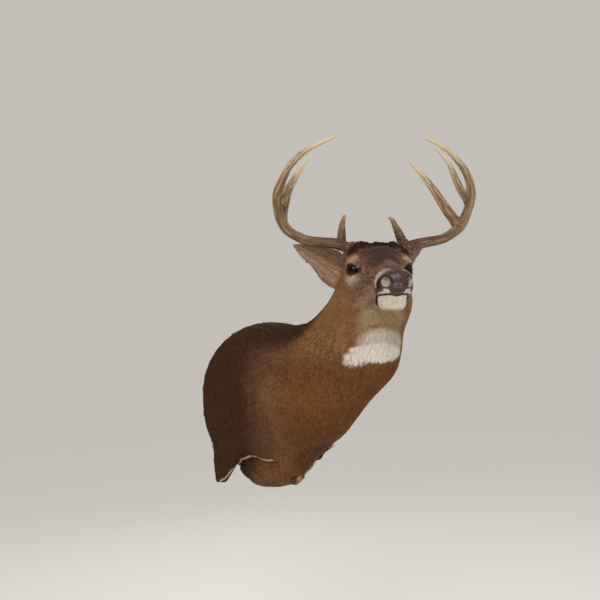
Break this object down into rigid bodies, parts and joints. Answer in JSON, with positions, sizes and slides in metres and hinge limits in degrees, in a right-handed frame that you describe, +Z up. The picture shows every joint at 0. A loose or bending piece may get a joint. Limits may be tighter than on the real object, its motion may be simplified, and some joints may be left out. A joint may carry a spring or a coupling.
{
  "type": "whitetail buck shoulder mount",
  "caption": "Life-size wall-hung shoulder mount of an antlered whitetail buck, head raised and turned to its right, on a flat wooden back.",
  "frame": {"origin": "middle of the wooden board's back face, on the wall", "axes": "+Y into the wall, square to the board's back face; +Z up; +X to the deer's left"},
  "size_m": [0.5727, 0.5159, 0.8113],
  "materials": {
    "hide": "short flat hair on tanned skin",
    "antler": "bone, rough and dark at the foot and smooth and pale at the tips",
    "eye": "polished dark glass",
    "board": "bare plywood",
    "hanger": "zinc plated"
  },
  "bodies": {
    "root": {"shoulders": "hide", "neck_lower": "hide", "neck_upper": "hide", "head": "hide", "lower_jaw": "hide", "ear_left": "hide", "ear_right": "hide", "antler_left_base": "antler", "antler_left_middle": "antler", "antler_left_tip": "antler", "antler_left_brow_tine": "antler", "antler_left_second_tine": "antler", "antler_left_third_tine": "antler", "antler_right_base": "antler", "antler_right_middle": "antler", "antler_right_tip": "antler", "antler_right_brow_tine": "antler", "antler_right_second_tine": "antler", "antler_right_third_tine": "antler", "eye_left": "eye", "eye_right": "eye", "backboard": "board", "hanger": "hanger"}
  },
  "joints": []
}
